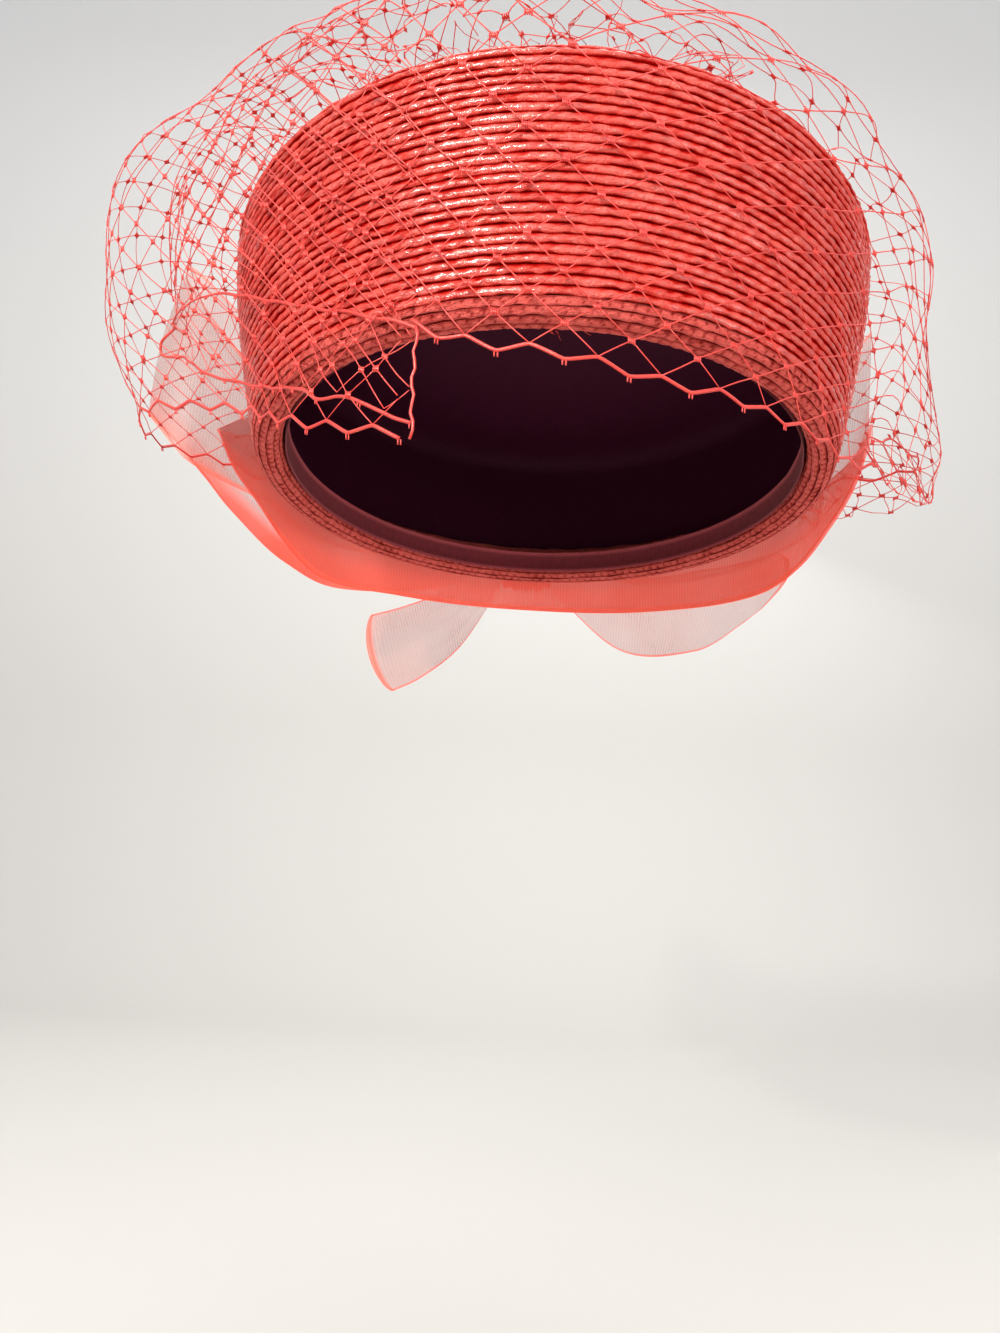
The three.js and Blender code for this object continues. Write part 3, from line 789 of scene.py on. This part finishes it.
def bars(points, out, wide, thick):
    """Closed thin bars. `points` and `out` have the shape (bars, points of each, 3)."""
    ahead = unit(np.gradient(points, axis=1))
    side = unit(np.cross(out, ahead))
    face = np.cross(ahead, side)
    ring = np.stack([side * wide / 2, face * thick / 2, -side * wide / 2, -face * thick / 2], axis=2)
    corners = points[:, :, None, :] + ring
    count, steps = points.shape[:2]
    ids = np.arange(count * steps * 4).reshape(count, steps, 4)
    turned = np.roll(ids, -1, axis=2)
    sides = np.stack([ids[:, :-1], ids[:, 1:], turned[:, 1:], turned[:, :-1]], axis=-1).reshape(-1, 4)
    ends = np.concatenate([ids[:, 0], ids[:, -1, ::-1]])
    return corners.reshape(-1, 3), np.concatenate([sides, ends])


def laid(cloth, s, w, wide, thick):
    """Thin bars that lie on the cloth, along lengths s along it and w up it."""
    return bars(cloth.at(s, w), cloth.out(s, w), wide, thick)


def joined(parts):
    """Several lists of points and faces as one."""
    points, faces, count = [], [], 0
    for p, f in parts:
        points.append(p)
        faces.append(f + count)
        count += len(p)
    return np.concatenate(points), np.concatenate(faces)


# %% [markdown]
# The knots stand in columns and rows, and in each row every second place is empty, so the threads
# from knot to knot make diamonds. No real net is perfect, so each knot sits a little off its place.
# Where a strip is pulled along the wall its diamonds lean: a knot is moved along by a share of its
# height.

# %% The diamonds
CELL = (8.2, 6.1)  # from one column of knots to the next, and from row to row: half a diamond
THREAD = (0.33, 0.26)  # a thread's width and thickness
KNOT = (1.7, 1.3)  # a knot's width and height
CORNER = (0.36, 0.30)  # the threads leave a knot this far out, as shares of its size
KNOT_BAR = (0.42, 0.46)  # width and thickness of a knot's four bars
BINDING = (0.8, 0.32)  # width and thickness of the thread that binds them
HEM_DIP = 1.3  # the selvage zigzags this much up and down
LEAN_TOP = 48.0  # up to here a pulled net leans more and more
print("a diamond of the net is", 2 * CELL[0], "by", 2 * CELL[1], "mm")


def knot_place(cloth, i, j, lean):
    """How far along the strip and up it the knot of column i and row j is tied."""
    sway_s, sway_w = (0.6 * uneven(i * 3.1 + j * 7.7, 1.0, seed) * (j > 0) for seed in (51, 52))
    s, w = i * CELL[0] + sway_s, HEM_DIP + j * CELL[1] + sway_w
    if lean is not None:
        pull = smooth(lean[:, 0], lean[:, 1], np.interp(s, cloth.along, cloth.place))
        s = s + pull * np.minimum(w, LEAN_TOP)
    return s, w


def diamonds(cloth, lean, first_row, thread, steps, knot):
    """The threads, of `steps` points each, and the knots, at `knot` times their usual size."""
    columns, rows = int(cloth.length / CELL[0]), int(cloth.width / CELL[1])
    i, j = np.meshgrid(np.arange(columns + 1), np.arange(first_row, rows + 1), indexing="ij")
    i, j = (grid[(i + j) % 2 == 0] for grid in (i, j))
    t = np.linspace(0, 1, steps)
    threads = []
    for turn in (-1, 1):  # a thread climbs to the row above, to the left or to the right
        keep = (i + turn >= 0) & (i + turn <= columns) & (j + 1 <= rows)
        s0, w0 = knot_place(cloth, i[keep], j[keep], lean)
        s1, w1 = knot_place(cloth, i[keep] + turn, j[keep] + 1, lean)
        from_knot = (1 - 2 * t) ** 3 * np.where(t < 0.5, (j[keep] > 0)[:, None], 1)
        s = s0[:, None] * (1 - t) + s1[:, None] * t + turn * KNOT[0] * CORNER[0] * from_knot
        w = w0[:, None] * (1 - t) + w1[:, None] * t + KNOT[1] * CORNER[1] * from_knot
        threads.append(laid(cloth, s, w, *thread))

    tied = (j > 0) & (i < columns)
    s, w = (place[:, None] for place in knot_place(cloth, i[tied], j[tied], lean))
    ends = knot * np.array([-0.5, 0.5])
    knots = []
    for k in range(4):
        tall = KNOT[1] * (1.0 if k in (1, 2) else 1.2)
        bar_s = s + knot * (k - 1.5) * KNOT[0] / 3.3 + 0 * ends
        knots.append(laid(cloth, bar_s, w + ends * tall, *(knot * size for size in KNOT_BAR)))
    knots.append(laid(cloth, s + ends * KNOT[0] * 1.1, w + 0 * ends, *(knot * size for size in BINDING)))
    return threads, knots


# %% [markdown]
# The strip's lower edge is finished with a thick cord, the selvage. It runs from low corner to low
# corner in soft zigzags, and under each low corner two little nubs of thread stick out. A strip that
# ends in sight has its cut end bound with a thinner cord.

# %% The selvage
HEM_CORD = (0.95, 0.6)  # width and thickness of the selvage
END_CORD = (0.8, 0.6)  # the same of the cord on a cut end
CUT_END = 23.0  # so much of the cut end's height is bound
NUB = (0.42, 1.1)  # a nub's thickness and length, and it stands as far to each side as it is thick


def selvage(cloth, lean, dip, bound):
    """The cord along the hem, one up the cut end where it is bound, and the nubs."""
    corner = np.arange(int(cloth.length / CELL[0]) + 1)
    s, w = knot_place(cloth, corner, 0 * corner, lean)
    w = w - HEM_DIP + np.where(corner % 2 == 0, dip, -dip)
    fine = np.linspace(0, corner[-1], corner[-1] * 6 + 1)
    route_s, route_w = np.interp(fine, corner, s), np.interp(fine, corner, w)
    route_w[1:-1] = np.convolve(route_w, (0.15, 0.7, 0.15), mode="valid")  # rounds the zigzag
    cords = [laid(cloth, route_s[None], route_w[None], *HEM_CORD)]
    if bound:
        end_w = np.linspace(-HEM_DIP, bound, 14)
        end_s = cloth.length - 0.6 + 0.5 * np.sin(end_w)
        cords.append(laid(cloth, end_s[None], end_w[None], *END_CORD))
    nubs = []
    for shift in (-NUB[0], NUB[0]):
        nub_s = (s[1::2] + shift)[:, None] + np.zeros(3)
        nub_w = (w[1::2] - 0.2)[:, None] - np.array([0, 0.6, NUB[1]])
        nubs.append(laid(cloth, nub_s, nub_w, NUB[0], NUB[0]))
    return cords, nubs


def net_parts(cloth, lean=None, first_row=0, thread=THREAD, steps=5, knot=1.0, dip=HEM_DIP, bound=0.0):
    """The threads and the knots of one strip of net, with its selvage if its first row is made."""
    threads, knots = diamonds(cloth, lean, first_row, thread, steps, knot)
    if first_row == 0:
        cords, nubs = selvage(cloth, lean, dip, bound)
        threads, knots = threads + cords, knots + nubs
    return joined(threads), joined(knots)


# %% [markdown]
# The thread is a stiff, slightly waxy yarn. Its colour is the coral of the straw, a little deeper,
# and it varies from place to place as dyed yarn does. A fine bump along it hints at the twist.

# %% The net's finish
net_paint = Paint("coral_thread")
net_tone = net_paint.spread(net_paint.noise(45.0, 2.0), 0.35, 0.65)
net_paint.into("Base Color", net_paint.blend(net_tone, srgb(208, 48, 42), srgb(230, 68, 58)))
net_paint.set(Roughness=0.42, Specular_IOR_Level=0.4, Sheen_Weight=0.08)
net_paint.bump(net_paint.noise(4200.0, 2.0), 0.00012, 0.7)


def net_piece(name, cloth, nodes, **how):
    """One layer of net, as a piece of threads and a piece of knots that stand for some plain pieces."""
    for part, (points, faces) in zip(("threads", "knots"), net_parts(cloth, **how)):
        piece = dress(make_mesh(name + "_" + part, points, faces), net_paint.material, "net", *nodes)
        print(piece.name, "faces", len(faces))
    print(name, "is cut from a strip", round(cloth.length), "by", round(cloth.width), "mm")


# %% [markdown]
# Now the strip itself. It is one long layer that goes round from under the lap to its cut end in
# front. At the right the net is pulled forwards along the wall, so there its diamonds lean: one set
# of threads runs almost level, and the other falls steeply.

# %% Hang the veil
PULLED = np.array([  # place along the strip, and how much the net leans there
    (-30, 0), (5, 0), (50, 0.95), (105, 0.95), (150, 0), (345, 0),
])
LAP_END = 338.5  # the strip's cut end is here
ALL_ROUND = ["veil_front", "veil_right", "veil_back", "veil_left", "veil_end"]
net_piece("veil", Cloth(-22, LAP_END), ALL_ROUND, lean=PULLED, bound=CUT_END)

# %% [markdown]
# The strip's first stretch lies inside the left wing. It runs up into the wing, is folded back there,
# and comes down again under the lap, so two more selvages show at the left.

# %% The start of the strip, and its fold
HEM_BACK = np.array([  # the same as HEM_HEIGHT, for the layer that comes back down
    (-84, 34.5), (-80, 29), (-72, 17), (-64, 8), (-50, -2), (-42, -8.5), (-38, -13), (-31, -15.5),
    (-24.5, -22.5), (-21, -24.6),
])
start = Cloth(-84, -20, top=0.6, inset=1.0, seed=43)
back_again = Cloth(-84, -21, top=0.34, inset=1.1, hem_height=HEM_BACK, seed=45)
net_piece("veil_start", start, ["veil_left"], dip=0.25)
net_piece("veil_fold", back_again, ["veil_left"], dip=0.25)

# %% [markdown]
# Where the strip turns back inside the wing, its selvage makes a round bend. It is one smooth cord
# from the end of one selvage to the end of the other.

# %% The bend of the selvage
BEND_OUT = 28.0  # the bend stands this far outside the wall
route = np.array([*start.at([6, 0], [0, 0]), beside_wall(-87.0, 43.0, BEND_OUT),
                  beside_wall(-87.6, 39.0, BEND_OUT), *back_again.at([0, 6], [0, 0])])
route = smooth(np.linspace(0, 1, len(route)), route, np.linspace(0, 1, 40))
leftwards = np.tile([-1.0, 0.1, 0.0], (len(route), 1))
bend = make_mesh("veil_bend", *bars(route[None], leftwards[None], HEM_CORD[0], HEM_CORD[0]))
dress(bend, net_paint.material, "net", "veil_left")
print("mm of selvage in the bend:", round(float(length_so_far(route)[-1])))

# %% [markdown]
# Over the tip the gathered net is crushed into several loose layers. Two more stretches, with
# narrower diamonds because they are gathered, fill the crest over the front and the left wing. They
# are made from a row high up the strip, so they have no selvage.

# %% The crushed layers
CRUSHED = [  # name, first and last place, crumple, gathered, how far sunk, seed, and first row of knots
    ("veil_crush_a", -88, 40, 1.9, 1.7, 9.0, 47, 17),
    ("veil_crush_b", -70, 20, 2.6, 1.9, 17.0, 53, 18),
]
for name, first, last, crumple, gathered, sink, seed, row in CRUSHED:
    cloth = Cloth(first, last, crumple=crumple, gathered=gathered, sink=sink, seed=seed)
    net_piece(name, cloth, ["veil_front"], first_row=row, thread=(0.28, 0.22), steps=4, knot=0.7)

# %% [markdown]
# ## Sheer ribbon
# The sash and the bow are one ribbon of crisp see-through weave, 72 mm wide. One layer only tints
# what is behind it, and two or three layers together look almost solid. That is why the hems and the
# folded band near the crown's edge are the strongest coral, and it is how we paint it: each point of
# the cloth carries its number of layers, and the number drives both the colour and how see-through it
# is. Fine cords of the weave run across the ribbon. Such thin cloth also glows with the light that
# comes through it from behind, and a little emission stands in for that.

# %% The ribbon's finish
RIBBON = 72.0  # width of the ribbon
print("the ribbon is", RIBBON, "mm wide")
weave = Paint("sheer_weave")
layers = weave.add("Attribute", attribute_name="layers").outputs["Fac"]
doubled = weave.spread(layers, 1.0, 2.4)
weave.into("Base Color", weave.blend(doubled, srgb(177, 122, 114), srgb(250, 100, 80)))
weave.into("Emission Color", weave.blend(doubled, srgb(108, 84, 78), srgb(255, 108, 82)))
weave.set(Roughness=0.5, Specular_IOR_Level=0.3, Sheen_Weight=0.1, Emission_Strength=0.17)
weave_place = weave.add("UVMap", uv_map="cloth").outputs[0]
cords = weave.add("TexWave", {"Vector": weave_place}, bands_direction="X", Scale=24.0, Distortion=0.6)
cords = cords.outputs["Fac"]
cover = weave.spread(layers, 0.0, 3.0, 0.06, 0.95)
cover = weave.math("ADD", cover, weave.spread(cords, 0.0, 1.0, -0.04, 0.06))
haze = weave.spread(weave.noise(26.0, 3.0), 0.35, 0.65, -0.06, 0.06)
weave.into("Alpha", weave.math("ADD", cover, haze, clamp=True))
weave.bump(cords, 0.00012, 0.5)

# %% [markdown]
# Each length of ribbon is a grid of points between two edge lines, its lower and its upper selvage.
# A tied ribbon is gathered hard at the knot and opens like a fan away from it, so the grid gets folds
# that are deep at the knot and fade along the ribbon. The rows of the grid are close together at the
# selvages, where the cloth is turned over in a narrow hem.

# %% A ribbon between two selvages
ACROSS = np.concatenate([[0, 0.008, 0.018, 0.03], np.linspace(0.06, 0.94, 23), [0.97, 0.982, 0.992, 1]])
HEM = 0.019  # the part of the width that is turned over


def ribbon_grid(table, columns, belly=0.0, lazy=0.8, folds=0, depth=0.0, fade=20.0, both_ends=False, seed=61):
    """Points between the selvages, and the length so far; a table row is along, low, high.

    The cloth swells by `belly` in its middle and sways by `lazy`. Its folds have their full `depth` at
    its start, and at its end too with `both_ends`, and die out over a length of about `fade`.
    """
    table = np.array(table, float)
    selvages = smooth(table[:, 0], table[:, 1:], np.linspace(0, 1, columns + 1))[:, None]
    low, high = selvages[..., :3], selvages[..., 3:]
    v = ACROSS[:, None]
    flat = low * (1 - v) + high * v
    length = length_so_far((low + high)[:, 0] / 2)
    out = unit(np.cross(np.gradient(flat, axis=0), high - low))
    near = np.exp(-length / fade) + (np.exp((length - length[-1]) / fade) if both_ends else 0)
    near, free = near[:, None], 1 - near[:, None].clip(0, 1)
    fan = 2 * math.pi * folds * ACROSS + 1.4 * uneven(length, 45.0, seed)[:, None]
    ripple = depth * near * np.sin(fan + 0.7 * np.sin(3 * fan / max(folds, 1) + seed))
    sway = lazy * uneven(length[:, None] + 34 * ACROSS, 21.0, seed + 1) * free
    swell = belly * np.sin(math.pi * ACROSS) * free
    return flat + out * (ripple + sway + swell)[..., None], length


def hemmed(length, single=1.0):
    """The number of layers of a ribbon: `single`, and one more in each turned hem."""
    hem = np.where((ACROSS < HEM) | (ACROSS > 1 - HEM), 1.1, 0.0)
    return single + np.tile(hem, (len(length), 1))


def ribbon_piece(name, node, points, length, layers, flat, cut=None):
    """A finished length of ribbon that stands for one plain piece; `cut` is its flat area if it tapers."""
    uv = np.stack(np.broadcast_arrays(length[:, None] / 100, ACROSS * RIBBON / 100), axis=-1)
    piece = make_mesh(name, points, grid_faces(*points.shape[:2]), uv, {"layers": layers})
    dress(piece, weave.material, "sheer_ribbon", node)
    share = sum(face.area for face in piece.data.polygons) / (cut or flat[0] * flat[1])
    print(name, "length", round(float(length[-1])), "mm, cloth in it / flat", round(share, 2))


# %% [markdown]
# ## The sash
# The ribbon goes round the back of the crown from one side to the other, under the bow. It stands
# straighter than the wall does, so a narrow space opens above the edge of the crown. Round the lower
# part it is folded over on itself, and at the left the fold ends in a pointed corner, where a small
# flap of it is turned up once more.

# %% The sash's tables
# direction, height of the lower and the upper selvage, and how far each stands outside the edge
SASH = np.array([
    (89, 26, 64, 16.5, 18.5), (93, 20, 63, 17.5, 17), (99, 13, 62, 18.5, 15.5), (106, 6, 60, 19, 13.5),
    (114, -4, 59, 18.3, 12), (124, -10, 58, 17, 10.8), (150, -9, 58, 16.2, 10.5), (180, -7, 58, 16, 10.5),
    (210, -8, 58, 16, 10.5), (230, -10, 58, 16.4, 10.6), (240, -3, 58, 17.2, 10.8),
    (250, 8, 54, 18, 11.6), (258, 14, 35, 19.2, 15.5), (265, 21, 22, 19, 18.8),
])
FOLD_TOP = np.array([  # direction, and how far the fold reaches up from the lower selvage
    (89, 5), (99, 12), (112, 20), (150, 20), (210, 18), (230, 20), (240, 25), (250, 25), (258, 12),
    (265, 0.4),
])
FLAP_TOP = np.array([(236, 26), (243, 34), (250, 36), (258, 19), (265, 0.8)])  # the same for the flap


def sash_selvages(first, last, columns, start=None, stop=None, off=0.0):
    """A ribbon table for a stretch of the sash, lifted `off` it.

    `start` and `stop` narrow it to a band between two heights above the lower selvage.
    """
    rows = []
    for k, angle in enumerate(np.linspace(first, last, columns + 1)):
        low_z, high_z, low_out, high_out = smooth(SASH[:, 0], SASH[:, 1:], angle)
        row = [k / columns]
        for bound, whole in ((start, 0.0), (stop, high_z - low_z)):
            rise = whole if bound is None else smooth(bound[:, 0], bound[:, 1], angle)
            out = low_out + (high_out - low_out) * rise / (high_z - low_z) + off
            row += [*on_oval(EDGE[0] + out, EDGE[1] + out, angle, low_z + rise)]
        rows.append(row)
    return rows


# %% Lay the sash round the crown
SASH_START, FLAP_START, SASH_END = 89, 236, 265
sash_table = sash_selvages(SASH_START, SASH_END, 60)
sash_points, sash_length = ribbon_grid(sash_table, 260, belly=0.3, lazy=0.4, seed=71)
sash_layers = hemmed(sash_length, 1.35) + 0.8 * np.clip(1.5 - ACROSS / 0.25, 0, 1)  # thicker low down
ribbon_piece("sash_film", "sash", sash_points, sash_length, sash_layers, (0.066, 0.365))

fold_table = sash_selvages(SASH_START, SASH_END, 60, stop=FOLD_TOP, off=0.9)
fold_points, fold_length = ribbon_grid(fold_table, 240, belly=0.6, lazy=0.3, seed=73)
fold_layers = hemmed(fold_length, 2.4)
ribbon_piece("sash_fold", "sash", fold_points, fold_length, fold_layers, (0.021, 0.37))

flap_table = sash_selvages(FLAP_START, SASH_END, 20, start=FOLD_TOP, stop=FLAP_TOP, off=0.9)
flap_points, flap_length = ribbon_grid(flap_table, 60, belly=0.5, lazy=0.2, seed=79)
flap_layers = hemmed(flap_length, 1.9)
ribbon_piece("sash_flap", "sash", flap_points, flap_length, flap_layers, (0.011, 0.073),
             cut=0.0006)  # it tapers to a point

# %% [markdown]
# ## The bow
# The bow has two loops and two tails. The left loop is large and open, and leans forwards along the
# crown, so its turn stands beside the veil's wing. The right loop is shorter and stays behind the
# crown. The tails hang below. Each table gives the way along the ribbon, from 0 to 1, and a point of
# its lower and of its upper selvage there.

# %% The bow's tables
LOOP_LEFT = [
    (0, -12, 134.5, 19, -12, 134.5, 42), (0.10, -40, 141, 7, -43, 142, 60),
    (0.22, -86, 134, 2, -89, 137, 74), (0.31, -111, 118, 9, -116, 121, 84),
    (0.39, -131, 101, 25, -135, 105, 101), (0.45, -141, 92, 36, -146, 96, 112),
    (0.51, -152, 80, 47, -152, 86, 119), (0.56, -159, 67, 52, -154, 76, 121),
    (0.60, -151, 59, 43, -149, 68, 120), (0.65, -140, 57, 31, -142, 65, 114),
    (0.70, -131, 61, 26, -134, 68, 107), (0.77, -112, 73, 20, -117, 79, 96),
    (0.87, -86, 98, 11, -90, 102, 80), (0.95, -48, 118, 13, -50, 120, 60),
    (1, -12, 128, 19, -12, 128, 42),
]
LOOP_RIGHT = [
    (0, 12, 134.5, 20, 12, 134.5, 42), (0.18, 50, 142, 14, 50, 143, 66),
    (0.34, 92, 134, 18, 92, 135, 82), (0.48, 121, 110, 28, 121, 111, 92),
    (0.54, 125, 98, 33, 124, 99, 93), (0.60, 117, 89, 34, 117, 90, 91),
    (0.68, 101, 92, 30, 101, 93, 84), (0.82, 66, 109, 22, 66, 110, 70), (1, 12, 128, 19, 12, 128, 42),
]
TAIL_LEFT = [
    (0, -12, 131.4, 5, -12, 131.4, 16), (0.4, -29, 134, -23, -36, 134.5, 4),
    (0.75, -46, 132, -39, -56, 131.5, -6), (1, -60, 130, -47, -72, 128, -12),
]
TAIL_RIGHT = [
    (0, 12, 131.4, 5, 12, 131.4, 18), (0.35, 45, 137, -20, 47, 137, 15), (0.7, 78, 130, -20, 86, 128, 19),
    (0.9, 97, 119, -9, 107, 116, 22), (1, 106, 113, -2, 115, 110, 22),
]

# %% [markdown]
# The lower edge of the left loop is turned over where the loop leans out, so more layers are counted
# there. Each tail ends in a cut across the ribbon: the last rows are moved along it, so that the end
# is a little rounded, and the end itself is turned over in a hem.

# %% Tie the bow
GATHERED = {"folds": 5, "fade": 16, "both_ends": True}  # a loop comes back to the knot
loop_points, loop_length = ribbon_grid(LOOP_LEFT, 220, belly=2.5, depth=2.6, seed=83, **GATHERED)
turned = np.exp(-((loop_length / loop_length[-1] - 0.30) / 0.17) ** 2)
loop_layers = hemmed(loop_length) + 2.6 * turned[:, None] * np.clip(1.3 - ACROSS / 0.20, 0, 1)
ribbon_piece("bow_loop_left_cloth", "bow_loop_left", loop_points, loop_length, loop_layers,
             (0.072, 0.40))

loop_points, loop_length = ribbon_grid(LOOP_RIGHT, 200, belly=-2.5, depth=2.4, seed=87, **GATHERED)
ribbon_piece("bow_loop_right_cloth", "bow_loop_right", loop_points, loop_length, hemmed(loop_length),
             (0.064, 0.30))

for side, table, flat in (("left", TAIL_LEFT, (0.036, 0.078)), ("right", TAIL_RIGHT, (0.036, 0.12))):
    tail_points, tail_length = ribbon_grid(table, 90, belly=-2, folds=4, depth=2.0, fade=22, seed=91)
    ahead = unit(tail_points[-1] - tail_points[-4])
    ease = np.clip(tail_length / tail_length[-1] * 6 - 5, 0, 1) ** 2
    bulge = 7 * np.sin(math.pi * ACROSS) ** 0.6 - 3
    tail_points = tail_points + ahead * (ease[:, None] * bulge)[..., None]
    tail_layers = hemmed(tail_length, 1.3) + 1.2 * (tail_length > tail_length[-1] - 2.2)[:, None]
    ribbon_piece("tail_" + side + "_cloth", "tail_" + side, tail_points, tail_length, tail_layers,
                 flat)

# %% [markdown]
# The knot is a short length of the same ribbon, folded narrow and wrapped once over the middle of the
# bow. Its folds run round it, so we make it as a band that goes round in the upright plane.

# %% The knot
KNOT_MIDDLE = (131.4, 25.0)  # depth and height of its middle
KNOT_SIZE = (6.4, 20.0)  # half depth and half height
KNOT_HALF = 10.5  # half its width at its narrowest


def knot_band():
    """A pleated band wrapped over the middle of the bow."""
    x, t = np.meshgrid(np.linspace(-1, 1, 41), np.linspace(0, 2 * math.pi, 97)[:-1], indexing="ij")
    pleat = 0.75 * np.cos(x * 4.5 * math.pi + 0.9 * np.sin(t)) - 2.6 * x ** 4
    half = KNOT_HALF + 1.2 * np.sin(t) ** 2
    y = KNOT_MIDDLE[0] - (KNOT_SIZE[0] + pleat) * np.cos(t)
    z = KNOT_MIDDLE[1] + (KNOT_SIZE[1] + pleat) * np.sin(t)
    points = np.stack([x * half, y, z], axis=-1)
    uv = np.stack([x * 0.12, t * 0.15], axis=-1)
    faces = grid_faces(*x.shape, closed=True)
    return make_mesh("knot_band", points, faces, uv, {"layers": np.full(x.shape, 2.4)})


knot = dress(knot_band(), weave.material, "sheer_ribbon", "bow_knot")
print("faces in the knot:", len(knot.data.polygons))
